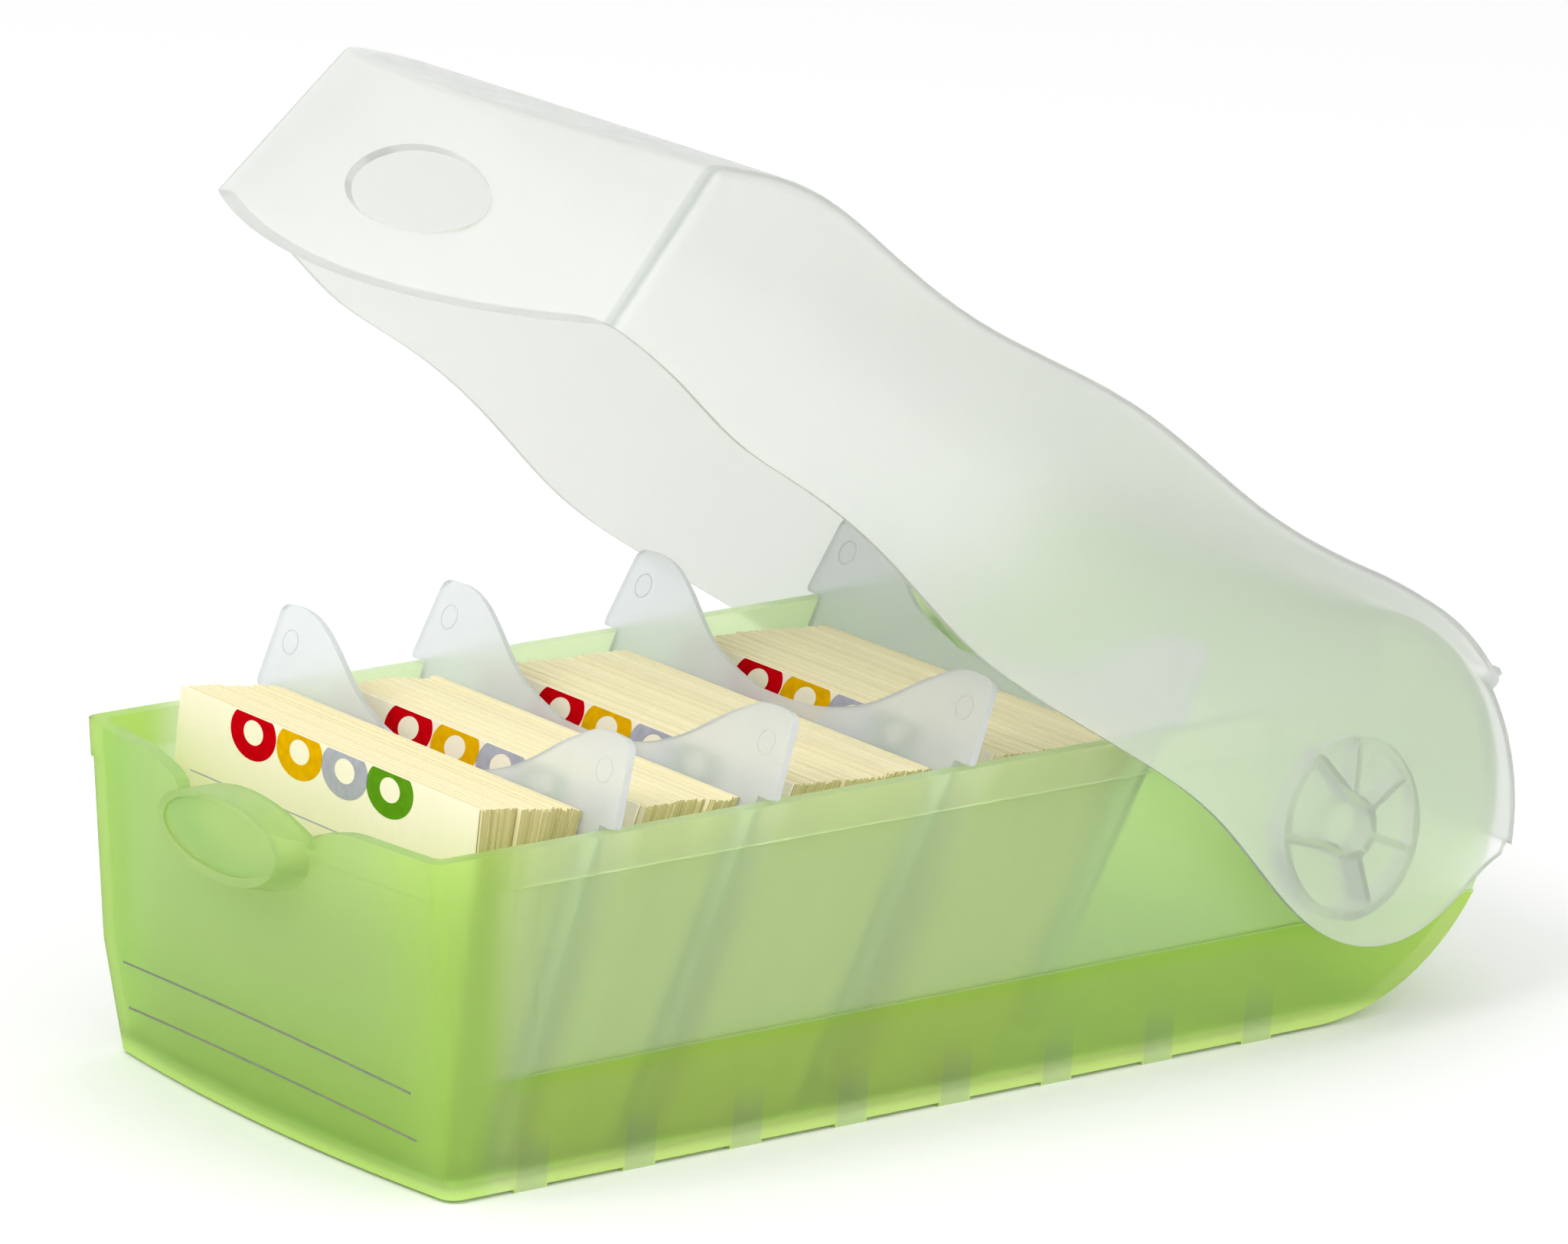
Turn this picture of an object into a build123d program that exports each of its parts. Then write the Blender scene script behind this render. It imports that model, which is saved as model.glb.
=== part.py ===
from build123d import *
from math import asin, cos, pi, radians, sin, tan
import os

# Index-card box: an open tray with a bowed front and a round rear hood, a wavy
# lid hinged beside the hood, four hanging divider plates and four packs of cards.
# Millimetres. X is the width, +Y runs from the front to the hinge, +Z is up.
# The origin is on the table, under the middle of the tray's fifth cross rib.

# ---- shared ----
BIG = 400.0                # longer than the whole box, for cutting blocks
CUT_OVER = 9.0             # cutters run this far past what they cut
NEAR = 1.0                 # a corner is looked for within this distance

# ---- tray ----
FRONT_Y = -130.6           # front corners of the rim
FOOT_HEIGHT = 0.8          # cross ribs under the floor
FLOOR_THICK = 2.2
FLOOR_TOP = FOOT_HEIGHT + FLOOR_THICK
RIM_HEIGHT = 71.0
SHOULDER_HEIGHT = 24.6     # the sides step in above this line
WALL_THICK = 3.0
FRONT_WALL_THICK = 2.6
FRONT_BOW = 3.7            # how far the front bulges between its corners
CORNER_RADIUS = 3.6
FOOT_HALF_WIDTH = 59.4
SHOULDER_HALF_WIDTH = 61.6
TOP_HALF_WIDTH = 62.4      # sides carried on up to the loft's top
FRONT_SETBACK = 7.1        # how far the foot of the front stands behind the rim
SHOULDER_SETBACK = 3.4
TOP_SETBACK = -1.2
LOFT_TOP = 95.0
BAND_PROUD = 0.4           # rim band
BAND_BOTTOM = 63.3
BAND_LENGTH = 208.0
RECESS_HALF_WIDTH = 61.0   # outer face of the thin part of the sides
RECESS_START = 12.0
RECESS_RAMP = 14.0
RECESS_RAMP_OUT = 2.0      # the ramp starts this far outside the thin part

# ---- hinge and rear hood ----
HINGE_Y = FRONT_Y + 224.8
HINGE_Z = 45.7
HOOD_RADIUS = HINGE_Z - FOOT_HEIGHT
HOOD_THICK = 2.2
HOOD_START = 12.9          # the hood begins this far behind the hinge
BLOCK_FRONT = FRONT_Y - 22 # side profiles run from here
BLOCK_BACK = HINGE_Y + 80  # and plans run on to here
PIN_RADIUS = 5.0
PIN_END = 66.8
PIN_ROOT = 1.0             # the pin starts this deep in the side wall
PIN_CHAMFER = 0.8
HUB_CLEARANCE = 0.08
HUB_RADIUS = 19.1
HUB_WALL = 1.8
HUB_FACE = 62.2            # inner end of the lid's snap-in guides
RING_FACE = 64.4           # inner end of the ring around each guide
HUB_REACH = 20.0           # guides and rings run outwards through the lid's side
SLOT_NECK = 4.5            # half-width where the guide pinches behind the pin
FUNNEL_ANGLE = 16.0        # each side of the guide's mouth spreads by this
HUB_RIB_ANGLES = (113, 61, 9, -43)
RIB_THICK = 1.4

# ---- front edge and thumb boss ----
NOTCH_X = 23.4
NOTCH_Z = 64.8
LOBE_WIDTH = 16.1
BOSS_Z = 62.6
BOSS_FACE = 9.3            # the boss's face stands this far before the rim corners
BOSS_HALF_WIDTH = 20.8
BOSS_HALF_HEIGHT = 9.0
BOSS_FLARE = 2.4
BOSS_MARGIN = 2.0          # flat border around the dish in the boss's face
DISH_DEPTH = 0.6
BOSS_WALL = 1.8
BOSS_FACE_THICK = 2.2
BOSS_MOUTH = 6.0           # the boss's hollow starts this far behind the rim corners
EDGE_CUT_DEPTH = 12.0      # the front edge is shaped this far back

# ---- locating grooves and cross ribs ----
RIB_FIRST = 26.2
RIB_PITCH = 26.1
RIB_COUNT = 8
RIB_WIDTH = 7.8
GROOVE_WIDTH = 5.8
GROOVE_DEPTH = 1.2
GROOVE_HEIGHT = 14.0

# ---- lid, in its closed position ----
LID_OPEN_ANGLE = 33.0
LID_THICK = 1.6
LID_TOP_HALF_WIDTH = 63.7
LID_TOP_LEVEL = 93.65      # middle of the wave
LID_SIDE_DRAFT = 0.127     # the sides spread this much for each mm downwards
LID_FRONT_LEAN = 0.219
LID_FRONT_FOOT = (-5.0, 50.6)
LID_BOW = 9.2
LID_CORNER = 4.0
LID_EDGE_RADIUS = 3.0
WAVE_HEIGHT = 1.71
WAVE_LENGTH = 97.8
WAVE_CREST = 224.8 - 2 * WAVE_LENGTH
WAVE_NOSE = [(-22.0, -14.0), (3.0, -5.0)]  # from the rim's front and the wave's middle
REAR_WALL_RADIUS = 47.4
REAR_CORNER = 4.0
REAR_WALL_FROM = 19.0      # degrees above the hinge's level
REAR_WALL_INSET = 4.0      # the cut under the rear wall starts this far inside the hood
LIP_ANGLE = 63.0
LIP_THICK = 2.0            # degrees
LIP_END_GAP = 1.0
LIP_SPAN = 4.0
LIP_PROUD = 0.9
LID_TOP_RADIUS = LID_TOP_LEVEL + WAVE_HEIGHT - HINGE_Z
WINDOW_HALF_WIDTH = 23.9
WINDOW_HALF_HEIGHT = 10.1
WINDOW_TAPER = 0.8
WINDOW_CUT = (1.0, -4.0)   # the window is cut from outside to inside this far

# lower edge of the lid's sides: distance behind the rim's front, and height
LID_LOWER_EDGE = [
    (-5.2, 50.6), (14.9, 48.5), (34.3, 44.5), (55.0, 43.9), (82.0, 40.8),
    (111.0, 34.5), (136.0, 33.4), (162.0, 33.8), (188.0, 32.2), (210.0, 26.1),
    (224.8, 23.4), (238.3, 25.4), (252.3, 35.1), (262.0, 52.0), (269.0, 61.5),
]
CHIN_SLOPE = 0.92          # the front's lower edge drops towards the middle

# ---- dividers ----
PLATE_THICK = 1.6
PLATE_DROP = 68.0          # from the rim down to the plate's lower edge
PLATE_TOP_HALF = 58.0
PLATE_FOOT_HALF = 55.6
HOOK_HALF_WIDTH = 63.0
HOOK_RADIUS = 1.2
EAR_CORNER_RADIUS = 3.0
SIT_GAP = 0.3
EAR_CURVE = [
    (0.0, -0.5), (13.0, 0.4), (24.0, 3.4), (32.5, 7.8), (40.0, 12.8), (47.0, 16.5), (55.0, 18.0),
]
EAR_CORNER = (60.8, 17.6)
DIVIDERS = [  # distance behind the rim's front at the rim, and backward lean in degrees
    (41.9, 17.0), (80.3, 22.2), (129.0, 25.0), (181.8, 27.0),
]

# ---- cards ----
CARD_WIDTH = 105.0
CARD_HEIGHT = 74.0
CARD_THICK = 0.4
CARD_GAP = 0.3
PLATE_GAP = 0.36
FIRST_CARD_SHIFT = -1.0
PACKETS = "abc"
STACKS = [  # front card's foot and lean, last card's lean, sideways shifts of the packets
    (10.4, 5.5, 18.5, (-0.6, 0.8, -0.4)),
    (28.9, 21.5, 24.5, (0.5, -0.7, 0.6)),
    (63.0, 24.5, 27.0, (-0.5, 0.9, 0.0)),
    (111.0, 26.5, 30.0, (0.7, -0.4, 0.5)),
]


def yz_face(edges):
    """A face in the YZ plane from edges drawn with (y, z) points."""
    return make_face(Plane.YZ * Curve(edges))


def across(face, half_length):
    """The face carried sideways, half_length to each side of the middle."""
    return extrude(Pos(-half_length, 0, 0) * face, amount=2 * half_length, dir=(1, 0, 0))


def hinge_point(radius, degrees):
    """The (y, z) point at a distance and angle from the hinge axis."""
    angle = radians(degrees)
    return (HINGE_Y + radius * cos(angle), HINGE_Z + radius * sin(angle))


def hinge_arc(radius, start, end):
    """An arc about the hinge axis, between two angles in degrees."""
    middle = (start + end) / 2
    return ThreePointArc(hinge_point(radius, start), hinge_point(radius, middle), hinge_point(radius, end))


def bowed_plan(z, half_width, front, bow, corner):
    """Outline at height z: straight sides, bowed front with round corners, open-ended rear."""
    front_arc = ThreePointArc((-half_width, front), (0, front - bow), (half_width, front))
    rest = Polyline(
        (half_width, front), (half_width, BLOCK_BACK), (-half_width, BLOCK_BACK), (-half_width, front)
    )
    face = Plane.XY.offset(z) * make_face([front_arc, *rest.edges()])
    return fillet(face.vertices().group_by(Axis.Y)[0], corner)


def side_mirrored(solid):
    """The solid and its twin on the other side."""
    return [solid, mirror(solid, about=Plane.YZ)]


# ---- tray ----
def tray_loft(grow, front_grow, corner):
    """The tray's drafted block, with its sides and its front moved outwards."""
    sections = [
        (0.0, FOOT_HALF_WIDTH, FRONT_SETBACK),
        (SHOULDER_HEIGHT, SHOULDER_HALF_WIDTH, SHOULDER_SETBACK),
        (LOFT_TOP, TOP_HALF_WIDTH, TOP_SETBACK),
    ]
    faces = [
        bowed_plan(z, half + grow, FRONT_Y + setback - front_grow, FRONT_BOW, corner)
        for z, half, setback in sections
    ]
    return loft(faces, ruled=True)


def tray_side_profile(radius, floor, top):
    """Side view of the tray up to its hood, for an outer or inner skin."""
    start = (BLOCK_FRONT, floor)
    hood_angle = 90 - asin(HOOD_START / radius) * 180 / pi
    hood_end = hinge_point(radius, hood_angle)
    corner = (hood_end[0], top)
    outline = Polyline((HINGE_Y, floor), start, (BLOCK_FRONT, top), corner, hood_end)
    return yz_face([*outline.edges(), hinge_arc(radius, hood_angle, -90)])


def recess_cutter():
    """The shallow pocket in one side, with a long ramp at its front."""
    start = FRONT_Y + RECESS_START
    outer = RECESS_HALF_WIDTH + CUT_OVER
    lower = Polyline(
        (RECESS_HALF_WIDTH + RECESS_RAMP_OUT, start), (outer, start), (outer, BLOCK_BACK),
        (RECESS_HALF_WIDTH, BLOCK_BACK), (RECESS_HALF_WIDTH, start + RECESS_RAMP), close=True,
    )
    pocket = extrude(
        Plane.XY.offset(SHOULDER_HEIGHT) * make_face(lower), amount=BAND_BOTTOM - SHOULDER_HEIGHT
    )
    band_end = FRONT_Y + BAND_LENGTH
    above = Pos(0, 0, BAND_BOTTOM) * Box(
        outer - RECESS_HALF_WIDTH, BLOCK_BACK - band_end, LOFT_TOP - BAND_BOTTOM,
        align=(Align.MIN, Align.MIN, Align.MIN),
    )
    return pocket + Pos(RECESS_HALF_WIDTH, band_end, 0) * above


def front_edge_cutter():
    """What the lobes and the thumb boss's arch leave open at the front."""
    above = RIM_HEIGHT + CUT_OVER
    lobe_x = NOTCH_X + LOBE_WIDTH
    lobe_rise = RIM_HEIGHT - NOTCH_Z
    diagonal = sin(radians(45))
    lobe = [
        (lobe_x, RIM_HEIGHT),
        (lobe_x - LOBE_WIDTH * diagonal, NOTCH_Z + lobe_rise * diagonal),
        (NOTCH_X, NOTCH_Z),
    ]
    right = Spline(*lobe, tangents=[(-1, 0), (0, -1)])
    arch = ThreePointArc((NOTCH_X, NOTCH_Z), (0, RIM_HEIGHT), (-NOTCH_X, NOTCH_Z))
    left = Spline(*[(-x, z) for x, z in reversed(lobe)], tangents=[(0, 1), (-1, 0)])
    lid_side = Polyline((-lobe_x, RIM_HEIGHT), (-lobe_x, above), (lobe_x, above), (lobe_x, RIM_HEIGHT))
    plane = Plane(origin=(0, FRONT_Y + EDGE_CUT_DEPTH, 0), x_dir=(1, 0, 0), z_dir=(0, -1, 0))
    return extrude(plane * make_face([right, arch, left, *lid_side.edges()]), amount=BIG / 4)


def front_ellipse(y, half_width, half_height):
    """An upright ellipse facing forwards at the thumb boss's height."""
    plane = Plane(origin=(0, y, BOSS_Z), x_dir=(1, 0, 0), z_dir=(0, -1, 0))
    return plane * Ellipse(half_width, half_height)


def thumb_boss():
    """The flared oval boss, with a shallow dish in its face."""
    face_y = FRONT_Y - BOSS_FACE
    root = front_ellipse(FRONT_Y, BOSS_HALF_WIDTH + BOSS_FLARE, BOSS_HALF_HEIGHT + BOSS_FLARE)
    tip = front_ellipse(face_y, BOSS_HALF_WIDTH, BOSS_HALF_HEIGHT)
    bowl = front_ellipse(face_y, BOSS_HALF_WIDTH - BOSS_MARGIN, BOSS_HALF_HEIGHT - BOSS_MARGIN)
    return loft([root, tip]) - extrude(bowl, amount=-DISH_DEPTH)


def boss_hollow():
    """The inside of the thumb boss, open to the tray."""
    mouth = front_ellipse(
        FRONT_Y + BOSS_MOUTH, BOSS_HALF_WIDTH - BOSS_WALL, BOSS_HALF_HEIGHT - BOSS_WALL
    )
    return extrude(mouth, amount=BOSS_FACE + BOSS_MOUTH - BOSS_FACE_THICK)


def rib_positions():
    """Distance of each cross rib and groove behind the origin."""
    return [FRONT_Y + RIB_FIRST + RIB_PITCH * number for number in range(RIB_COUNT)]


def cross_ribs(skin):
    """Low ribs under the floor, as wide as the floor itself."""
    ribs = [Pos(0, y, 0) * Box(BIG, RIB_WIDTH, 2 * FLOOR_TOP) for y in rib_positions()]
    return [rib & skin for rib in ribs]


def groove_cutters():
    """Upright grooves inside the side walls, one over each end of a rib."""
    wall_x = FOOT_HALF_WIDTH - WALL_THICK
    block = Box(
        CUT_OVER, GROOVE_WIDTH, GROOVE_HEIGHT, align=(Align.MAX, Align.CENTER, Align.MIN)
    )
    return [
        groove
        for y in rib_positions()
        for groove in side_mirrored(Pos(wall_x + GROOVE_DEPTH, y, FLOOR_TOP) * block)
    ]


def hinge_pin():
    """The round pin that the lid's hub turns on, on the near side."""
    start = RECESS_HALF_WIDTH - PIN_ROOT
    rod = extrude(Plane.YZ.offset(start) * Circle(PIN_RADIUS), amount=PIN_END - start)
    pin = Pos(0, HINGE_Y, HINGE_Z) * rod
    return chamfer(pin.edges().sort_by(Axis.X)[-1], PIN_CHAMFER)


def box_body():
    """The whole tray as one moulding."""
    outer = tray_loft(0, 0, CORNER_RADIUS) & across(
        tray_side_profile(HOOD_RADIUS, FOOT_HEIGHT, RIM_HEIGHT), BIG / 2
    )
    band_slab = Pos(0, 0, BAND_BOTTOM) * Box(
        BIG, 2 * BIG, RIM_HEIGHT - BAND_BOTTOM, align=(Align.CENTER, Align.CENTER, Align.MIN)
    )
    band_end = Pos(0, FRONT_Y + BAND_LENGTH, 0) * Box(
        BIG, BIG, BIG, align=(Align.CENTER, Align.MAX, Align.CENTER)
    )
    band = tray_loft(BAND_PROUD, BAND_PROUD, CORNER_RADIUS) & band_slab & band_end
    body = outer + band + thumb_boss()
    for cutter in side_mirrored(recess_cutter()):
        body -= cutter
    cavity = tray_loft(-WALL_THICK, -FRONT_WALL_THICK, CORNER_RADIUS / 2) & across(
        tray_side_profile(HOOD_RADIUS - HOOD_THICK, FLOOR_TOP, LOFT_TOP + CUT_OVER), BIG / 2
    )
    body = body - cavity - boss_hollow() - front_edge_cutter()
    for cutter in groove_cutters():
        body -= cutter
    for rib in cross_ribs(tray_loft(0, 0, CORNER_RADIUS)):
        body += rib
    for pin in side_mirrored(hinge_pin()):
        body += pin
    return body


# ---- lid ----
def lid_loft(inset, corner):
    """The lid's drafted block, drawn in by a wall thickness for the inner skin."""
    faces = []
    for z in (0.0, LOFT_TOP + CUT_OVER):
        half = LID_TOP_HALF_WIDTH + (LID_TOP_LEVEL - z) * LID_SIDE_DRAFT
        foot_y, foot_z = LID_FRONT_FOOT
        front = FRONT_Y + foot_y + (z - foot_z) * LID_FRONT_LEAN
        faces.append(bowed_plan(z, half - inset, front + inset, LID_BOW, corner))
    return loft(faces, ruled=True)


def wave_top(inset):
    """The wavy top line from the front to the crest over the hinge."""
    quarter = WAVE_LENGTH / 4
    crest_y = FRONT_Y + WAVE_CREST
    points = [
        (crest_y + quarter * step, LID_TOP_LEVEL - inset + WAVE_HEIGHT * cos(pi / 2 * step))
        for step in range(9)
    ]
    nose = [(FRONT_Y + y, LID_TOP_LEVEL + z - inset) for y, z in WAVE_NOSE]
    return Spline(*nose, *points, tangents=[(1, 0.3), (1, 0)])


def lid_side_profile(inset):
    """Side view of the lid's outer skin, or of its hollow when drawn in by inset."""
    radius = LID_TOP_RADIUS - inset
    top = wave_top(inset)
    over = hinge_arc(radius, 90, 0)
    under = Polyline(over @ 1, (HINGE_Y + radius, -CUT_OVER), (BLOCK_FRONT, -CUT_OVER), top @ 0)
    return yz_face([top, over, *under.edges()])


def rear_sector(inset):
    """The wedge about the hinge, behind the lip, where the wall stands further in."""
    start = LIP_ANGLE + (LIP_SPAN if inset else 0)
    reach = 3 * HINGE_Z
    wedge = Polyline(
        (HINGE_Y, HINGE_Z), hinge_point(reach, start), hinge_point(2 * reach, start / 2),
        hinge_point(2 * reach, -45), (HINGE_Y, -reach), close=True,
    )
    return across(make_face(Plane.YZ * wedge), BIG / 2)


def rounded_block(profile, inset, corner):
    """The lid's block cut to a side profile, with the edges of its top rounded."""
    solid = lid_loft(inset, LID_CORNER - inset) & across(profile, BIG / 2)
    top_face = solid.faces().sort_by(Axis.Z)[-1]
    rear_line = top_face.edges().sort_by(Axis.Y)[-1]
    return fillet(top_face.edges() - [rear_line], corner - inset)


def rear_profile(inset):
    """Side view of the block that the rear wall is taken from."""
    radius = REAR_WALL_RADIUS - inset
    level = HINGE_Z + radius
    over = hinge_arc(radius, 90, 0)
    rest = Polyline(
        over @ 1, (HINGE_Y + radius, -CUT_OVER), (BLOCK_FRONT, -CUT_OVER), (BLOCK_FRONT, level), over @ 0
    )
    return yz_face([over, *rest.edges()])


def lid_skin(inset):
    """A solid lid shape with rounded edges, drawn in by inset for its hollow."""
    top = rounded_block(lid_side_profile(inset), inset, LID_EDGE_RADIUS)
    rear = rounded_block(rear_profile(inset), inset, REAR_CORNER)
    sector = rear_sector(inset)
    return (top - sector) + (rear & sector)


def lid_lower_cutter():
    """Everything below the lid's wavy lower edge."""
    points = [(FRONT_Y + y, z) for y, z in LID_LOWER_EDGE]
    edge = Spline(*points, tangents=[(1, -0.05), (1, 1)])
    first, last = points[0], points[-1]
    nose_y = BLOCK_FRONT - CUT_OVER
    nose_z = first[1] - (first[0] - nose_y) * CHIN_SLOPE
    rear_y = last[0] + CUT_OVER
    below = -2 * CUT_OVER
    ends = Polyline(
        last, (rear_y, last[1] + CUT_OVER), (rear_y, below), (nose_y, below), (nose_y, nose_z), first
    )
    low = across(yz_face([edge, *ends.edges()]), BIG / 2)
    tail_z = hinge_point(REAR_WALL_RADIUS, REAR_WALL_FROM)[1]
    tail = Pos(0, HINGE_Y + HOOD_RADIUS - REAR_WALL_INSET, tail_z) * Box(
        BIG, BIG, BIG, align=(Align.CENTER, Align.MIN, Align.MAX)
    )
    return low + tail


def hub(outer_skin):
    """Inner hub on the near side: a ring, and ribs to a funnel that snaps over the pin."""
    bearing = PIN_RADIUS + HUB_CLEARANCE
    neck_x = -(bearing**2 - SLOT_NECK**2) ** 0.5
    mouth_x = -(HUB_RADIUS - HUB_WALL)
    mouth = SLOT_NECK + (neck_x - mouth_x) * tan(radians(FUNNEL_ANGLE))

    def funnel(grow):
        half_neck, half_mouth = SLOT_NECK + grow, mouth + grow
        throat = make_face(
            Polyline(
                (mouth_x, half_mouth), (neck_x, half_neck), (neck_x, -half_neck),
                (mouth_x, -half_mouth), close=True,
            )
        )
        return Circle(bearing + grow) + throat

    inside = Circle(HUB_RADIUS - HUB_WALL / 2)
    ring = Circle(HUB_RADIUS) - Circle(HUB_RADIUS - HUB_WALL)
    ribs = [
        Rot(0, 0, angle) * Pos(HUB_RADIUS / 2, 0) * Rectangle(HUB_RADIUS - HUB_WALL, RIB_THICK)
        for angle in HUB_RIB_ANGLES
    ]
    guide = ((funnel(HUB_WALL) + ribs) & inside) - funnel(0)
    flat = Plane(origin=(0, HINGE_Y, HINGE_Z), x_dir=(0, 1, 0), z_dir=(1, 0, 0))
    guide_solid = extrude(flat.offset(HUB_FACE) * guide, amount=HUB_REACH)
    ring_solid = extrude(flat.offset(RING_FACE) * ring, amount=HUB_REACH)
    return (guide_solid + ring_solid) & outer_skin


def window_cutter():
    """The oval window in the lid's front, tapering inwards."""
    foot_y, foot_z = LID_FRONT_FOOT
    middle_y = FRONT_Y + foot_y - LID_BOW + (BOSS_Z - foot_z) * LID_FRONT_LEAN
    tilt = Plane(origin=(0, middle_y, BOSS_Z), x_dir=(1, 0, 0), z_dir=(0, -1, LID_FRONT_LEAN))
    outside, inside = WINDOW_CUT
    wide = tilt * Pos(0, 0, outside) * Ellipse(WINDOW_HALF_WIDTH, WINDOW_HALF_HEIGHT)
    narrow = tilt * Pos(0, 0, inside) * Ellipse(
        WINDOW_HALF_WIDTH - 2 * WINDOW_TAPER, WINDOW_HALF_HEIGHT - 2 * WINDOW_TAPER
    )
    return loft([narrow, wide])


def lid_lip():
    """The small bead across the rear end of the lid's top."""
    outer = hinge_arc(LID_TOP_RADIUS + LIP_PROUD, LIP_ANGLE, LIP_ANGLE + LIP_THICK)
    inner = hinge_arc(LID_TOP_RADIUS - LID_THICK, LIP_ANGLE, LIP_ANGLE + LIP_THICK)
    sides = [Line(outer @ 0, inner @ 0), Line(outer @ 1, inner @ 1)]
    return across(yz_face([outer, inner, *sides]), LID_TOP_HALF_WIDTH - LIP_END_GAP)


def lid():
    """The whole lid as one moulding, turned to its open rest position."""
    outer_skin = lid_skin(0)
    shell = outer_skin - lid_skin(LID_THICK)
    shell += lid_lip()
    for part in side_mirrored(hub(outer_skin)):
        shell += part
    shell = shell - lid_lower_cutter() - window_cutter()
    return shell.rotate(Axis((0, HINGE_Y, HINGE_Z), (-1, 0, 0)), LID_OPEN_ANGLE)


# ---- dividers ----
def hook_height(lean):
    """Level of the hooks' front edge, so that a leaning plate just clears the rim."""
    return RIM_HEIGHT + SIT_GAP + PLATE_THICK * sin(radians(lean))


def divider(rim_y, lean):
    """One plate hanging by its hooks on the rim and leaning back."""
    right = Spline(*EAR_CURVE, tangents=[(1, 0), (1, 0)])
    left = Spline(*[(-x, y) for x, y in reversed(EAR_CURVE)], tangents=[(1, 0), (1, 0)])
    crest = EAR_CURVE[-1]
    edge = [
        crest, EAR_CORNER, (HOOK_HALF_WIDTH, 0), (PLATE_TOP_HALF, 0),
        (PLATE_FOOT_HALF, -PLATE_DROP),
    ]
    right_edge = Polyline(*edge)
    foot = Line(edge[-1], (-PLATE_FOOT_HALF, -PLATE_DROP))
    left_edge = Polyline(*[(-x, y) for x, y in reversed(edge)])
    face = make_face([right, *right_edge.edges(), foot, *left_edge.edges(), left])
    hooks = [v for v in face.vertices() if abs(v.X) > HOOK_HALF_WIDTH - NEAR and v.Y < NEAR]
    face = fillet(hooks, HOOK_RADIUS)
    corner_x, corner_y = EAR_CORNER
    corners = [v for v in face.vertices() if abs(v.X) > corner_x - NEAR and v.Y > corner_y - NEAR]
    face = fillet(corners, EAR_CORNER_RADIUS)
    angle = radians(lean)
    plane = Plane(
        origin=(0, FRONT_Y + rim_y, hook_height(lean)),
        x_dir=(1, 0, 0),
        z_dir=(0, -cos(angle), sin(angle)),
    )
    return extrude(plane * face, amount=-PLATE_THICK)


# ---- cards ----
def leaning_slab(front_foot, front_lean, rear_foot, rear_lean, shift):
    """Cards between two leaning faces, standing just above the floor."""
    foot_z = FLOOR_TOP + CARD_GAP

    def top(foot, lean):
        return (foot + CARD_HEIGHT * sin(radians(lean)), foot_z + CARD_HEIGHT * cos(radians(lean)))

    outline = Polyline(
        (front_foot, foot_z), (rear_foot, foot_z), top(rear_foot, rear_lean),
        top(front_foot, front_lean), close=True,
    )
    return Pos(shift, 0, 0) * across(make_face(Plane.YZ * outline), CARD_WIDTH / 2)


def card_stack(front_foot, front_lean, rear_lean, shifts, rim_y, plate_lean):
    """The first card, and the packets behind it up to their divider."""
    rear_top_z = FLOOR_TOP + CARD_GAP + CARD_HEIGHT * cos(radians(rear_lean))
    plate_y = rim_y + (rear_top_z - hook_height(plate_lean)) * tan(radians(plate_lean))
    front_y = FRONT_Y + front_foot
    rear_y = FRONT_Y + plate_y - PLATE_GAP - CARD_HEIGHT * sin(radians(rear_lean))
    first = leaning_slab(front_y, front_lean, front_y + CARD_THICK, front_lean, FIRST_CARD_SHIFT)
    start = front_y + CARD_THICK + CARD_GAP
    step = (rear_y - start) / len(PACKETS)
    lean_step = (rear_lean - front_lean) / len(PACKETS)
    packets = [
        leaning_slab(
            start + step * number + (CARD_GAP if number else 0),
            front_lean + lean_step * number,
            start + step * (number + 1),
            front_lean + lean_step * (number + 1),
            shifts[number],
        )
        for number in range(len(PACKETS))
    ]
    return first, packets


# ---- files ----
def write(name, solid):
    """One STEP file for each piece, named after it."""
    export_step(solid, f"parts/{name}.step")


os.makedirs("parts", exist_ok=True)
write("box_body", box_body())
write("lid", lid())
for number, (plate, stack) in enumerate(zip(DIVIDERS, STACKS), start=1):
    write(f"divider_{number}", divider(*plate))
    first_card, packets = card_stack(*stack, *plate)
    write(f"front_card_{number}", first_card)
    for letter, packet in zip(PACKETS, packets):
        write(f"card_packet_{number}{letter}", packet)
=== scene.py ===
import random
from math import cos, pi, radians, sin

import bmesh
import bpy
from mathutils import Matrix, Vector


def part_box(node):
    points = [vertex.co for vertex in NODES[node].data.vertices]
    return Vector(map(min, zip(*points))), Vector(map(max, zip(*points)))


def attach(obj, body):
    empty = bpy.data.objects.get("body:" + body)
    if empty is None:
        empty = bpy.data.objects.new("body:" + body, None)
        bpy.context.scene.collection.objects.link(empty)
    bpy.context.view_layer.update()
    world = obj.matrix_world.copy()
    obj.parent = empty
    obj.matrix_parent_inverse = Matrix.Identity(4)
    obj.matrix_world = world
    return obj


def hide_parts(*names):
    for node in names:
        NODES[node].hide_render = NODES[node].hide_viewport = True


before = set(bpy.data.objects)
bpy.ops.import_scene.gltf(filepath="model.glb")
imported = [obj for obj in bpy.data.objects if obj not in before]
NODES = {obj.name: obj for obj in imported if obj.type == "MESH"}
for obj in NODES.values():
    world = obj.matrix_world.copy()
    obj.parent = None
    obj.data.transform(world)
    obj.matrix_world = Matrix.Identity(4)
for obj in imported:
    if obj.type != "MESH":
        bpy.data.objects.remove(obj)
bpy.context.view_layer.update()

# Looks of the index-card box: translucent tray and lid, frosted plates, packs of
# cards sheet by sheet, printed marks and writing lines. Metres, in the frame's axes.

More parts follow.
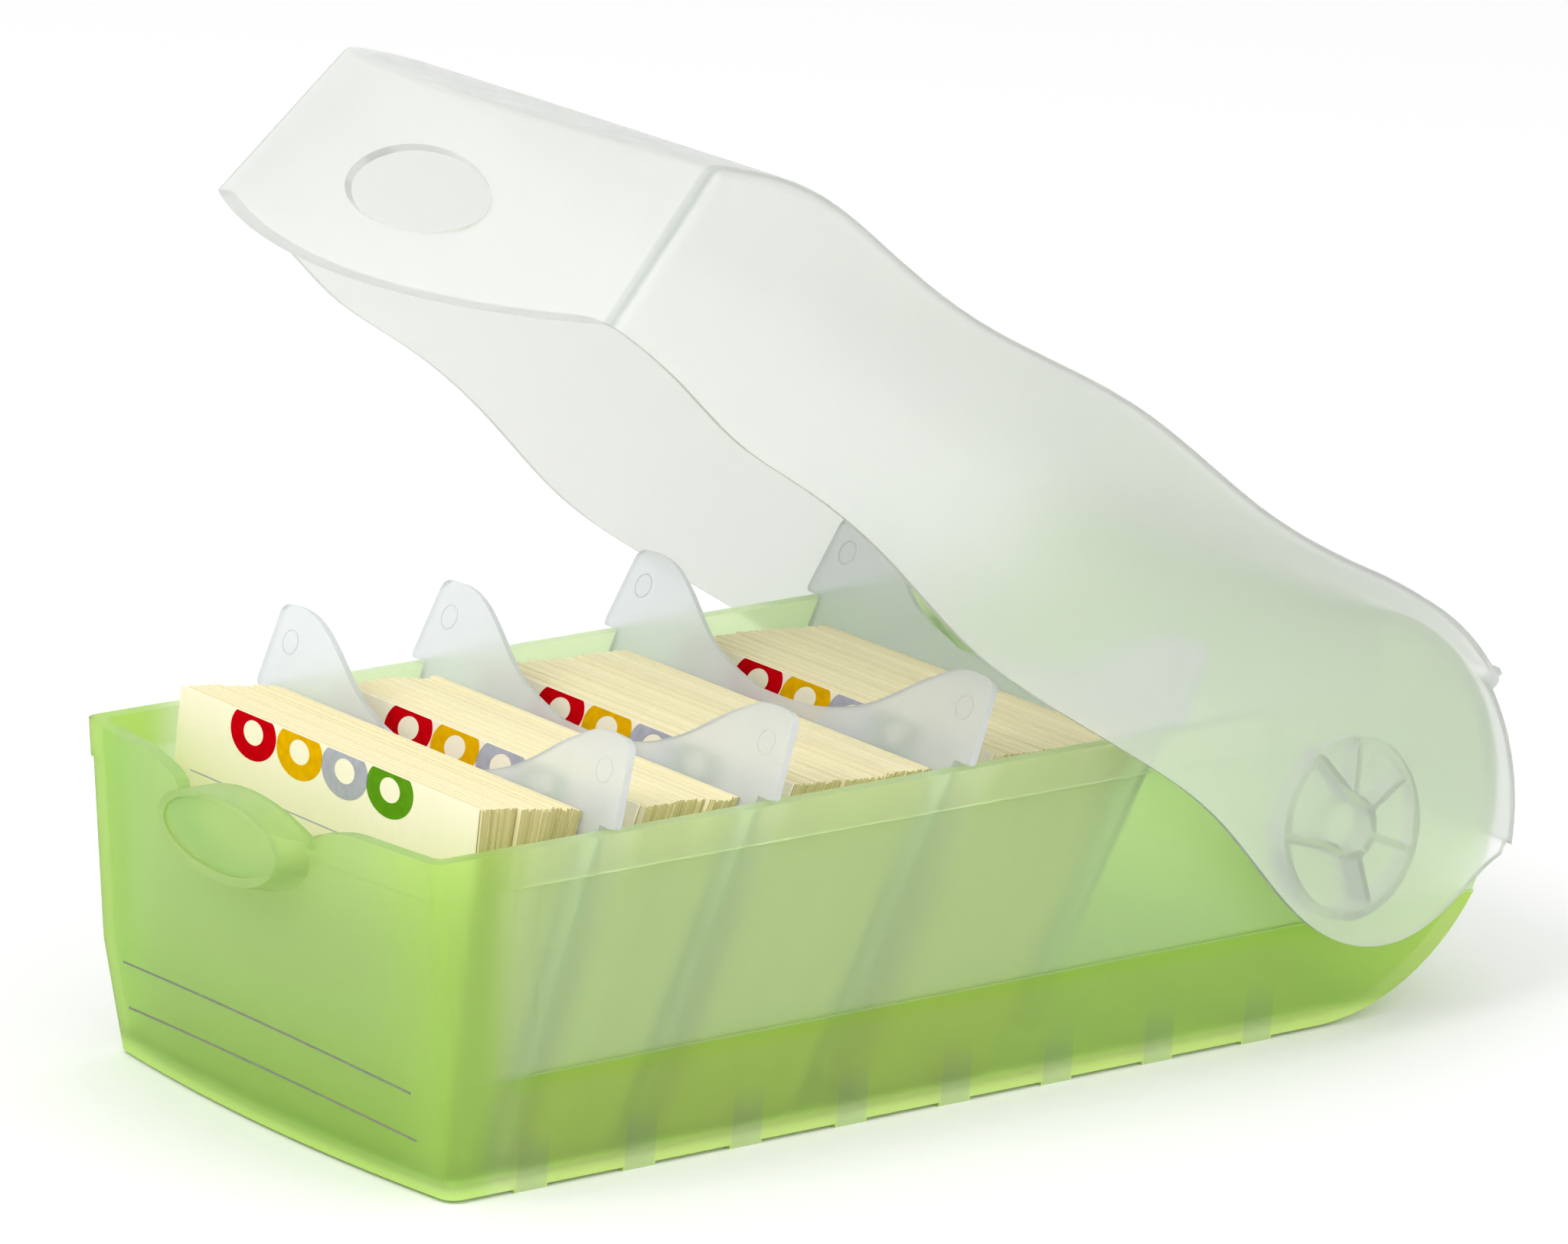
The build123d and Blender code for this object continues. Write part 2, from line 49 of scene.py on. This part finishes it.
MM = 0.001
EDGE_BLUR = 0.5 * MM        # painted borders are this soft
GRAIN_DEPTH = 0.05 * MM
PRINT_LIFT = 0.05 * MM      # printed shapes stand this far off their surface

# ---- camera ----
LOOK_AT = Vector((-0.0058, 0.0028, 0.0851))
AZIMUTH = radians(53.13)
ELEVATION = radians(15.14)
ROLL = radians(1.52)
CAMERA_DISTANCE = 2.109
LENS_MM = 236.6
SENSOR_MM = 36.0

# ---- tray ----
RIM_FRONT_Y = -0.1306
FRONT_BOW = 3.7 * MM
FOOT_SETBACK = 7.1 * MM
SHOULDER_SETBACK = 3.4 * MM
FOOT_HALF_WIDTH = 59.4 * MM
SHOULDER_HALF_WIDTH = 61.6 * MM
SHOULDER_HEIGHT = 24.6 * MM
LINE_HEIGHTS = (21.6 * MM, 11.6 * MM)
LINE_RISE = 2.1 * MM        # the lines rise this much towards the middle of the bow
LINE_HALF_LENGTH = 51.4 * MM
LINE_WIDTH = 0.45 * MM
LINE_STEPS = 32
RIM_HEIGHT = 71.0 * MM
BAND_BOTTOM = 63.3 * MM
PANEL_START = RIM_FRONT_Y + 12 * MM
PANEL_RAMP = 14 * MM
RIB_PITCH = 26.1 * MM
GROOVE_FIRST = RIM_FRONT_Y + 26.2 * MM
GROOVE_LAST = GROOVE_FIRST + 7 * RIB_PITCH
GROOVE_HALF_WIDTH = 3.9 * MM
GROOVE_TOP = 15 * MM
LEDGE_SHADE_DEPTH = 5 * MM        # the foot is deepest in colour at the shoulder, easing over this depth: painted shade along the ledge
FADE_TOP = 45 * MM          # below this level the front grows deeper in colour
CORNER_FROM = 36 * MM       # the front changes colour between these, towards both its ends
CORNER_TO = 61 * MM
LEFT_SHADE_FROM = -40 * MM    # and grows deeper still between these, at its left end, as painted shade
LEFT_SHADE_TO = -60 * MM
MILKY_BELOW = 1.5 * MM      # the tray is less clear near the table
CLEAR_ABOVE = 6 * MM

# ---- lid ----
LID_OPEN = radians(33)
LID_UP = (0.0, sin(LID_OPEN), cos(LID_OPEN))    # the closed lid's upward direction, at rest
HINGE = (94.2 * MM, 45.7 * MM)
LID_EDGE_LEVEL = LID_UP[1] * HINGE[0] + LID_UP[2] * HINGE[1] + 20 * MM

# ---- cards ----
SHEET_PITCH = 0.42 * MM
SHEET_FILL = 0.9            # a sheet's share of its pitch
SHEET_DRIFT = 0.2 * MM      # neighbouring sheets lean on each other, so they drift together
DRIFT_KEPT = 0.8
SHEET_SLIP = 0.15 * MM      # and each one slips a little on its own
SHEET_SINK = 0.7 * MM
MARK_CENTRES = (26.9 * MM, 43.4 * MM, 59.4 * MM, 75.2 * MM)
MARK_HALF_WIDTH = 8.1 * MM
MARK_HALF_HEIGHT = 5.6 * MM
MARK_FLAT = 3.4 * MM        # from a mark's middle up to its flat top, at the card's top edge
HOLE_HALF_WIDTH = 3.5 * MM
HOLE_HALF_HEIGHT = 2.5 * MM
RULE_DEPTH = 15.9 * MM
RULE_MARGIN = 6 * MM
RULE_WIDTH = 0.27 * MM
MARK_STEPS = 64
CARD_WARM_BELOW = 35 * MM   # a first card's face is warmest below this level
CARD_PALE_ABOVE = 74 * MM
FIBRE_DEPTH = 0.04 * MM

# ---- studio ----
FLOOR_HALF_SIZE = 6.0
WORLD_STRENGTH = 0.95
FAR_CLIP = 20.0

# ---- ejector rings on the plates ----
RING_X = 55.0 * MM
RING_DEPTH = 7.5 * MM       # from the plate's highest point down its face
RING_RADIUS = 2.4 * MM
RING_WIDTH = 0.25 * MM
RING_PROUD = 0.06 * MM
RING_STEPS = 40
PLATE_SHADE_FADE = 3 * MM    # painted shade: the plates' side edges darken over this depth below the rim
NEAR_END = 2 * MM           # points this close to a plate's end count as its end
WELD_DISTANCE = 0.001 * MM


# ---- node helpers ----
class Shader:
    """A material being built, with short names for the nodes used here."""

    def __init__(self, name):
        self.material = bpy.data.materials.new(name)
        self.material.use_nodes = True
        self.tree = self.material.node_tree
        self.surface = self.tree.nodes["Principled BSDF"]
        places = self.tree.nodes.new("ShaderNodeTexCoord").outputs
        self.coords = places["Object"]
        self.normal = places["Normal"]

    def node(self, kind, **settings):
        made = self.tree.nodes.new(kind)
        for key, value in settings.items():
            setattr(made, key, value)
        return made

    def feed(self, socket, value):
        """Links an output to a socket, or sets a plain value on it."""
        if isinstance(value, bpy.types.NodeSocket):
            self.tree.links.new(value, socket)
        else:
            socket.default_value = value

    def noise(self, scale, detail=3.0, stretch=(1.0, 1.0, 1.0)):
        mapping = self.node("ShaderNodeMapping")
        mapping.inputs["Scale"].default_value = stretch
        self.feed(mapping.inputs["Vector"], self.coords)
        texture = self.node("ShaderNodeTexNoise")
        self.feed(texture.inputs["Vector"], mapping.outputs["Vector"])
        texture.inputs["Scale"].default_value = scale
        texture.inputs["Detail"].default_value = detail
        return texture.outputs["Fac"]

    def coordinate(self, axis):
        """One coordinate of the point, in metres."""
        split = self.node("ShaderNodeSeparateXYZ")
        self.feed(split.inputs["Vector"], self.coords)
        return split.outputs[axis]

    def spread(self, value, low, high, to_low=0.0, to_high=1.0, smooth=False):
        """Maps a value from one range to another, and holds it there."""
        ramp = self.node("ShaderNodeMapRange")
        ramp.interpolation_type = "SMOOTHSTEP" if smooth else "LINEAR"
        self.feed(ramp.inputs["Value"], value)
        ramp.inputs["From Min"].default_value = low
        ramp.inputs["From Max"].default_value = high
        ramp.inputs["To Min"].default_value = to_low
        ramp.inputs["To Max"].default_value = to_high
        return ramp.outputs["Result"]

    def along(self, vector, direction):
        """How far a vector reaches in a direction."""
        made = self.node("ShaderNodeVectorMath", operation="DOT_PRODUCT")
        self.feed(made.inputs[0], vector)
        made.inputs[1].default_value = direction
        return made.outputs["Value"]

    def math(self, operation, a, b=0.0):
        made = self.node("ShaderNodeMath", operation=operation)
        self.feed(made.inputs[0], a)
        self.feed(made.inputs[1], b)
        return made.outputs[0]

    def blend(self, factor, low, high):
        """A colour between two colours."""
        mix = self.node("ShaderNodeMix", data_type="RGBA")
        self.feed(mix.inputs["Factor"], factor)
        for socket, colour in ((mix.inputs["A"], low), (mix.inputs["B"], high)):
            self.feed(socket, (*colour, 1.0) if isinstance(colour, tuple) else colour)
        return mix.outputs["Result"]

    def bump(self, height, strength, distance):
        made = self.node("ShaderNodeBump")
        made.inputs["Strength"].default_value = strength
        made.inputs["Distance"].default_value = distance
        self.feed(made.inputs["Height"], height)
        self.feed(self.surface.inputs["Normal"], made.outputs["Normal"])

    def set(self, **values):
        """Sets sockets of the surface shader by name, with _ for a space."""
        for key, value in values.items():
            socket = self.surface.inputs[key.replace("_", " ")]
            if isinstance(value, tuple) and len(value) == 3:
                value = (*value, 1.0)
            self.feed(socket, value)


# ---- materials ----
def tray_side(shader, level):
    """Masks of the tray: behind the front corners, the thin panel, the foot and the grooves."""
    lengthwise = shader.coordinate("Y")
    rear = shader.spread(lengthwise, PANEL_START, PANEL_START + PANEL_RAMP, smooth=True)
    foot = shader.spread(level, SHOULDER_HEIGHT, SHOULDER_HEIGHT - EDGE_BLUR)
    above_foot = shader.spread(foot, 0.0, 1.0, 1.0, 0.0)
    below_band = shader.spread(level, BAND_BOTTOM, BAND_BOTTOM - EDGE_BLUR)
    panel = shader.math("MULTIPLY", rear, shader.math("MULTIPLY", above_foot, below_band))
    repeated = shader.math("WRAP", lengthwise, GROOVE_FIRST - RIB_PITCH / 2)
    repeated.node.inputs[2].default_value = GROOVE_FIRST + RIB_PITCH / 2
    offset = shader.math("ABSOLUTE", shader.math("SUBTRACT", repeated, GROOVE_FIRST))
    bar = shader.spread(offset, GROOVE_HALF_WIDTH, GROOVE_HALF_WIDTH - EDGE_BLUR)
    low = shader.spread(level, GROOVE_TOP, GROOVE_TOP / 3, smooth=True)
    inside = shader.spread(lengthwise, GROOVE_LAST + RIB_PITCH / 2, GROOVE_LAST + RIB_PITCH / 3)
    groove = shader.math("MULTIPLY", bar, shader.math("MULTIPLY", low, inside))
    return rear, panel, shader.math("MULTIPLY", rear, foot), shader.math("MULTIPLY", rear, groove)


def green_plastic():
    """Translucent lime moulding: paler where it is thin, deeper at its foot and front ends, with
    painted shade at its left front end and along its shoulder ledge.
    """
    shader = Shader("green_plastic")
    level = shader.coordinate("Z")
    rear, panel, foot, groove = tray_side(shader, level)
    cloud = shader.noise(14.0, 2.0)
    fading = shader.spread(level, FADE_TOP, 0.0, smooth=True)
    front_green = shader.blend(fading, (0.62, 0.82, 0.37), (0.55, 0.80, 0.18))
    outward = shader.math("ABSOLUTE", shader.coordinate("X"))
    corner = shader.spread(outward, CORNER_FROM, CORNER_TO, 0.0, 0.75, smooth=True)
    front_green = shader.blend(corner, front_green, (0.63, 0.88, 0.26))
    # painted shade: the front's left end is made deeper still
    left_end_shade = shader.spread(
        shader.coordinate("X"), LEFT_SHADE_FROM, LEFT_SHADE_TO, 0.0, 0.8, smooth=True
    )
    front_green = shader.blend(left_end_shade, front_green, (0.50, 0.76, 0.14))
    colour = shader.blend(rear, front_green, (0.85, 1.0, 0.64))
    panel_green = shader.blend(cloud, (0.78, 0.96, 0.57), (0.81, 0.98, 0.62))
    colour = shader.blend(panel, colour, panel_green)
    # painted shade: the foot is deepest in colour just below the shoulder ledge
    ledge_shade = shader.spread(level, SHOULDER_HEIGHT - LEDGE_SHADE_DEPTH, SHOULDER_HEIGHT)
    foot_green = shader.blend(ledge_shade, (0.66, 0.87, 0.26), (0.60, 0.88, 0.14))
    colour = shader.blend(foot, colour, foot_green)
    colour = shader.blend(groove, colour, (0.58, 0.75, 0.33))
    rough = shader.spread(shader.noise(60.0), 0.3, 0.7, 0.40, 0.50)
    clearness = shader.spread(level, MILKY_BELOW, CLEAR_ABOVE, 0.25, 0.8, smooth=True)
    shader.set(
        Base_Color=colour, Roughness=rough, Transmission_Weight=clearness, IOR=1.2,
        Coat_Weight=0.25, Coat_Roughness=0.3,
    )
    shader.bump(shader.noise(700.0, 2.0), 0.05, GRAIN_DEPTH)
    return shader.material


def clear_plastic():
    """Clear moulding with a fine frosted grain, with painted shade on its rounded edges and on the
    downward faces of its lower edge.
    """
    shader = Shader("clear_plastic")
    cloud = shader.noise(10.0, 2.0)
    colour = shader.blend(cloud, (0.93, 0.95, 0.925), (0.96, 0.975, 0.95))
    sideways = shader.math("ABSOLUTE", shader.along(shader.normal, (1.0, 0.0, 0.0)))
    # painted shade on the lid's rounded edges, which face neither quite upwards nor quite sideways
    rounded_edge_shade = shader.spread(shader.math("PINGPONG", sideways, 0.55), 0.25, 0.45, smooth=True)
    colour = shader.blend(rounded_edge_shade, colour, (0.71, 0.75, 0.71))
    level = shader.along(shader.coords, LID_UP)
    # painted shade on the downward faces of the lid's lower edge
    low = shader.spread(level, LID_EDGE_LEVEL, LID_EDGE_LEVEL - EDGE_BLUR)
    shaded_underside = shader.spread(shader.along(shader.normal, LID_UP), -0.6, -0.7)
    colour = shader.blend(shader.math("MULTIPLY", low, shaded_underside), colour, (0.55, 0.60, 0.55))
    rough = shader.spread(shader.noise(80.0), 0.3, 0.7, 0.32, 0.40)
    shader.set(
        Base_Color=colour, Roughness=rough, Transmission_Weight=0.78, IOR=1.2, Coat_Weight=0.2,
        Coat_Roughness=0.25,
    )
    shader.bump(shader.noise(700.0, 2.0), 0.05, GRAIN_DEPTH)
    return shader.material


def frosted_plate():
    """Frosted plate of a divider, a little blue, with painted shade on its side edges below the rim.
    """
    shader = Shader("frosted_plate")
    cloud = shader.noise(30.0, 3.0)
    colour = shader.blend(cloud, (0.84, 0.87, 0.88), (0.88, 0.91, 0.92))
    sideways = shader.math("ABSOLUTE", shader.along(shader.normal, (1.0, 0.0, 0.0)))
    # painted shade on the plate's side edges inside the tray
    edge = shader.spread(sideways, 0.7, 0.9)
    inside = shader.spread(shader.coordinate("Z"), RIM_HEIGHT, RIM_HEIGHT - PLATE_SHADE_FADE)
    colour = shader.blend(shader.math("MULTIPLY", edge, inside), colour, (0.42, 0.47, 0.44))
    rough = shader.spread(shader.noise(120.0), 0.3, 0.7, 0.34, 0.44)
    shader.set(
        Base_Color=colour, Roughness=rough, Transmission_Weight=0.65, IOR=1.2, Coat_Weight=0.2,
        Coat_Roughness=0.3,
    )
    shader.bump(shader.noise(700.0, 2.0), 0.05, GRAIN_DEPTH)
    return shader.material


def card_paper():
    """Edges of stacked cards: cream, each sheet a little different, with painted shade making them
    olive-brown at the ends.
    """
    shader = Shader("card_paper")
    island = shader.node("ShaderNodeNewGeometry").outputs["Random Per Island"]
    cream = shader.blend(island, (0.83, 0.75, 0.48), (0.91, 0.84, 0.56))
    sideways = shader.math("ABSOLUTE", shader.along(shader.normal, (1.0, 0.0, 0.0)))
    # painted shade: the ends of the packs, shaded in the gaps between sheets, turn olive-brown
    end = shader.spread(sideways, 0.6, 0.9)
    end_shades = shader.blend(island, (0.46, 0.40, 0.16), (0.58, 0.52, 0.25))
    shader.set(Base_Color=shader.blend(end, cream, end_shades), Roughness=0.85)
    shader.bump(shader.noise(900.0, 4.0, (0.15, 1.0, 1.0)), 0.2, GRAIN_DEPTH)
    return shader.material


def front_card_paper():
    """Face of a first card: cream, warmer towards its foot, with faint fibres."""
    shader = Shader("front_card_paper")
    level = shader.coordinate("Z")
    up_the_face = shader.spread(level, CARD_WARM_BELOW, CARD_PALE_ABOVE, smooth=True)
    paper = shader.blend(up_the_face, (0.82, 0.70, 0.48), (0.93, 0.85, 0.66))
    fibres = shader.noise(420.0, 5.0, (1.0, 1.0, 0.4))
    colour = shader.blend(shader.spread(fibres, 0.35, 0.65, 0.0, 0.1), paper, (0.80, 0.72, 0.50))
    shader.set(Base_Color=colour, Roughness=shader.spread(fibres, 0.3, 0.7, 0.65, 0.8))
    shader.bump(fibres, 0.15, FIBRE_DEPTH)
    return shader.material


def ink(name, colour):
    """Printed ink with a slight unevenness."""
    shader = Shader(name)
    darker = tuple(0.86 * part for part in colour)
    patchy = shader.spread(shader.noise(500.0, 4.0), 0.35, 0.65)
    shader.set(Base_Color=shader.blend(patchy, darker, colour), Roughness=0.6, Specular_IOR_Level=0.0)
    return shader.material


# ---- meshes ----
def mesh_object(name, mesh, body, slot, *materials):
    """An object made of the bmesh, riding on a body."""
    data = bpy.data.meshes.new(name)
    mesh.to_mesh(data)
    mesh.free()
    made = bpy.data.objects.new(name, data)
    bpy.context.scene.collection.objects.link(made)
    for material in materials:
        data.materials.append(material)
    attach(made, body)
    return made


def add_prism(mesh, outline, left, right):
    """A closed prism between x = left and x = right. outline holds (y, z) points."""
    ends = [
        [mesh.verts.new((x, y, z)) for y, z in outline]
        for x in (left, right)
    ]
    count = len(outline)
    mesh.faces.new(ends[0])
    mesh.faces.new(list(reversed(ends[1])))
    for i in range(count):
        j = (i + 1) % count
        mesh.faces.new((ends[0][j], ends[0][i], ends[1][i], ends[1][j]))


# ---- cards ----
def side_corners(node):
    """Foot and top of the front and rear faces of a leaning packet, as (y, z) points."""
    low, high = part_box(node)
    middle = (low.z + high.z) / 2
    points = [(v.co.y, v.co.z) for v in NODES[node].data.vertices]
    foot = sorted(point for point in points if point[1] < middle)
    top = sorted(point for point in points if point[1] > middle)
    return foot[0], foot[-1], top[0], top[-1]


def between(a, b, share):
    """The point that lies this share of the way from a to b."""
    return tuple(p + (q - p) * share for p, q in zip(a, b))


def sheets(node, body, paper, seed):
    """A packet rebuilt from single cards, knocked together not quite evenly."""
    rng = random.Random(seed)
    low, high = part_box(node)
    front_foot, rear_foot, front_top, rear_top = side_corners(node)
    count = round((rear_top[0] - front_top[0]) / SHEET_PITCH)
    mesh = bmesh.new()
    drift = 0.0
    for number in range(count):
        start, end = number / count, (number + SHEET_FILL) / count
        drift = DRIFT_KEPT * drift + rng.uniform(-1, 1) * SHEET_DRIFT
        sink = SHEET_SINK * rng.random() ** 2 / (high.z - low.z)
        feet = [between(front_foot, rear_foot, share) for share in (start, end)]
        tops = [between(front_top, rear_top, share) for share in (start, end)]
        outline = [
            feet[0], feet[1], between(tops[1], feet[1], sink), between(tops[0], feet[0], sink)
        ]
        slip = drift + rng.uniform(-1, 1) * SHEET_SLIP
        add_prism(mesh, outline, low.x + slip, high.x + slip)
    bmesh.ops.recalc_face_normals(mesh, faces=mesh.faces)
    pack = mesh_object(node + "_sheets", mesh, body, "card_paper", paper)
    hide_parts(node)


def card_plane(node):
    """A first card's top left corner on its face, and the way down its face."""
    front_foot, _, front_top, _ = side_corners(node)
    low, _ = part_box(node)
    down = Vector((0.0, front_foot[0] - front_top[0], front_foot[1] - front_top[1])).normalized()
    out = Vector((0.0, down.z, -down.y))
    corner = Vector((low.x, *front_top))
    return corner, down, out


def add_patch(mesh, points, thickness, slot_index=0):
    """A thin closed plate: points lie on a surface, thickness is a vector off it."""
    base = [mesh.verts.new(point) for point in points]
    raised = [mesh.verts.new(point + thickness) for point in points]
    faces = [mesh.faces.new(base), mesh.faces.new(list(reversed(raised)))]
    count = len(points)
    for i in range(count):
        j = (i + 1) % count
        faces.append(mesh.faces.new((base[j], base[i], raised[i], raised[j])))
    for face in faces:
        face.material_index = slot_index


def add_ring_mark(mesh, place, slot_index):
    """A round printed mark with a flat top and an open middle, as a band of patches."""
    outer, inner = [], []
    for step in range(MARK_STEPS):
        angle = 2 * pi * step / MARK_STEPS
        across, up = cos(angle), sin(angle)
        outer.append((MARK_HALF_WIDTH * across, min(MARK_HALF_HEIGHT * up, MARK_FLAT)))
        inner.append((HOLE_HALF_WIDTH * across, HOLE_HALF_HEIGHT * up))
    loops = [
        [mesh.verts.new(place(x, z, lift)) for x, z in ring]
        for lift in (0.0, PRINT_LIFT)
        for ring in (outer, inner)
    ]
    base_outer, base_inner, top_outer, top_inner = loops
    pairs = (
        (base_outer, base_inner),
        (top_inner, top_outer),
        (top_outer, base_outer),
        (base_inner, top_inner),
    )
    for first, second in pairs:
        for i in range(MARK_STEPS):
            j = (i + 1) % MARK_STEPS
            face = mesh.faces.new((first[i], first[j], second[j], second[i]))
            face.material_index = slot_index


def card_print(number, inks):
    """The four coloured marks and the ruled line on one first card."""
    node = f"front_card_{number}"
    corner, down, out = card_plane(node)
    mesh = bmesh.new()
    for index, centre in enumerate(MARK_CENTRES):
        middle = corner + Vector((centre, 0, 0)) + down * MARK_FLAT

        def place(x, up, lift, middle=middle):
            return middle + Vector((x, 0, 0)) - down * up + out * lift

        add_ring_mark(mesh, place, index)
    low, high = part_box(node)
    left = corner + down * RULE_DEPTH + Vector((RULE_MARGIN, 0, 0))
    right = corner + down * RULE_DEPTH + Vector((high.x - low.x - RULE_MARGIN, 0, 0))
    width = down * RULE_WIDTH
    add_patch(mesh, [left, right, right + width, left + width], out * PRINT_LIFT, 2)
    bmesh.ops.recalc_face_normals(mesh, faces=mesh.faces)
    mesh_object(f"card_print_{number}", mesh, f"front_card_{number}", "front_card", *inks)


# ---- tray details ----
def front_surface(x, z):
    """Outer face of the bowed front, below the shoulder line."""
    share = z / SHOULDER_HEIGHT
    setback = FOOT_SETBACK + (SHOULDER_SETBACK - FOOT_SETBACK) * share
    half = FOOT_HALF_WIDTH + (SHOULDER_HALF_WIDTH - FOOT_HALF_WIDTH) * share
    radius = (half**2 + FRONT_BOW**2) / (2 * FRONT_BOW)
    bulge = (radius**2 - x**2) ** 0.5 - (radius - FRONT_BOW)
    return Vector((x, RIM_FRONT_Y + setback - bulge, z))


def writing_line(number, height, grey):
    """One of the two lines to write on, printed across the front."""
    mesh = bmesh.new()
    shares = [2 * step / LINE_STEPS - 1 for step in range(LINE_STEPS + 1)]
    rows = []
    for edge in (-LINE_WIDTH / 2, LINE_WIDTH / 2):
        for lift in (-PRINT_LIFT, PRINT_LIFT):
            row = []
            for share in shares:
                z = height + LINE_RISE * (1 - share**2) + edge
                point = front_surface(LINE_HALF_LENGTH * share, z)
                row.append(mesh.verts.new(point + Vector((0, -lift, 0))))
            rows.append(row)
    inner_low, outer_low, inner_high, outer_high = rows
    around = (inner_low, outer_low, outer_high, inner_high)
    for first, second in zip(around, around[1:] + around[:1]):
        for i in range(LINE_STEPS):
            mesh.faces.new((first[i], first[i + 1], second[i + 1], second[i]))
    for end in (0, -1):
        mesh.faces.new([row[end] for row in around])
    bmesh.ops.recalc_face_normals(mesh, faces=mesh.faces)
    mesh_object(f"writing_line_{number}", mesh, "box_body", "green_plastic", grey)


# ---- plate details ----
def plate_front(node):
    """Highest point of a plate's front face, and the way down it."""
    points = [v.co for v in NODES[node].data.vertices]
    low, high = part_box(node)
    foot = min((p for p in points if p.z < low.z + NEAR_END), key=lambda p: p.y)
    slope = max((p.z - foot.z) / (p.y - foot.y) for p in points if p.z > high.z - NEAR_END)
    down = Vector((0.0, -1.0, -slope)).normalized()
    top = Vector((0.0, foot.y + (high.z - foot.z) / slope, high.z))
    return top, down


def ejector_rings(number, plate):
    """The faint round pin marks on both ears of one divider."""
    node = f"divider_{number}"
    top, down = plate_front(node)
    out = Vector((0.0, down.z, -down.y))
    mesh = bmesh.new()
    for side in (-1, 1):
        middle = top + Vector((side * RING_X, 0, 0)) + down * RING_DEPTH
        for step in range(RING_STEPS):
            points = []
            for turn, radius in ((0, 0), (1, 0), (1, 1), (0, 1)):
                angle = 2 * pi * (step + turn) / RING_STEPS
                reach = RING_RADIUS + radius * RING_WIDTH
                points.append(middle + Vector((reach * cos(angle), 0, 0)) - down * reach * sin(angle))
            add_patch(mesh, points, out * RING_PROUD)
    bmesh.ops.remove_doubles(mesh, verts=mesh.verts, dist=WELD_DISTANCE)
    bmesh.ops.recalc_face_normals(mesh, faces=mesh.faces)
    mesh_object(f"ejector_rings_{number}", mesh, node, "frosted_plate", plate)


# ---- scene ----
def paint(node, material):
    """Gives a carried-over node its material."""
    slots = NODES[node].data.materials
    slots.clear()
    slots.append(material)


def set_camera():
    """The camera at the reference view."""
    data = bpy.data.cameras.new("camera")
    data.lens = LENS_MM
    data.sensor_width = SENSOR_MM
    data.clip_end = FAR_CLIP
    camera = bpy.data.objects.new("camera", data)
    bpy.context.scene.collection.objects.link(camera)
    forward = Vector((
        -sin(AZIMUTH) * cos(ELEVATION), cos(AZIMUTH) * cos(ELEVATION), -sin(ELEVATION)
    ))
    level = Vector((cos(AZIMUTH), sin(AZIMUTH), 0.0))
    upward = level.cross(forward)
    right = level * cos(ROLL) + upward * sin(ROLL)
    up = upward * cos(ROLL) - level * sin(ROLL)
    turn = Matrix((right, up, -forward)).transposed().to_4x4()
    camera.matrix_world = Matrix.Translation(LOOK_AT - forward * CAMERA_DISTANCE) @ turn
    bpy.context.scene.camera = camera


def soft_light(name, place, size, power):
    """A square soft box aimed at the object."""
    data = bpy.data.lights.new(name, "AREA")
    data.size = size
    data.energy = power
    light = bpy.data.objects.new(name, data)
    bpy.context.scene.collection.objects.link(light)
    light.location = place
    light.rotation_euler = (LOOK_AT - Vector(place)).to_track_quat("-Z", "Y").to_euler()


def studio():
    """Pale floor, white surroundings and two soft boxes."""
    mesh = bmesh.new()
    bmesh.ops.create_grid(mesh, x_segments=1, y_segments=1, size=FLOOR_HALF_SIZE)
    data = bpy.data.meshes.new("floor")
    mesh.to_mesh(data)
    mesh.free()
    floor = bpy.data.objects.new("floor", data)
    bpy.context.scene.collection.objects.link(floor)
    shader = Shader("floor")
    shader.set(Base_Color=(0.9, 0.9, 0.9), Roughness=0.9)
    data.materials.append(shader.material)
    world = bpy.data.worlds.new("studio")
    world.use_nodes = True
    world.node_tree.nodes["Background"].inputs["Color"].default_value = (1.0, 1.0, 1.0, 1.0)
    world.node_tree.nodes["Background"].inputs["Strength"].default_value = WORLD_STRENGTH
    bpy.context.scene.world = world
    soft_light("key", (0.1, -1.4, 1.5), 1.2, 15.0)
    soft_light("fill", (1.5, 0.3, 0.9), 1.4, 7.0)
    bpy.context.scene.view_settings.view_transform = "Standard"


def main():
    paint("box_body", green_plastic())
    paint("lid", clear_plastic())
    plate = frosted_plate()
    paper = card_paper()
    face_paper = front_card_paper()
    grey = ink("ink_grey", (0.22, 0.24, 0.20))
    inks = [
        ink("ink_red", (0.58, 0.001, 0.005)),
        ink("ink_yellow", (0.80, 0.42, 0.001)),
        ink("ink_silver", (0.44, 0.44, 0.50)),
        ink("ink_green", (0.11, 0.30, 0.01)),
    ]
    for number in range(1, 5):
        paint(f"divider_{number}", plate)
        ejector_rings(number, plate)
        paint(f"front_card_{number}", face_paper)
        card_print(number, inks)
        for index, letter in enumerate("abc"):
            sheets(f"card_packet_{number}{letter}", f"cards_{number}", paper, 10 * number + index)
    for number, height in enumerate(LINE_HEIGHTS, start=1):
        writing_line(number, height, grey)
    set_camera()
    studio()


main()
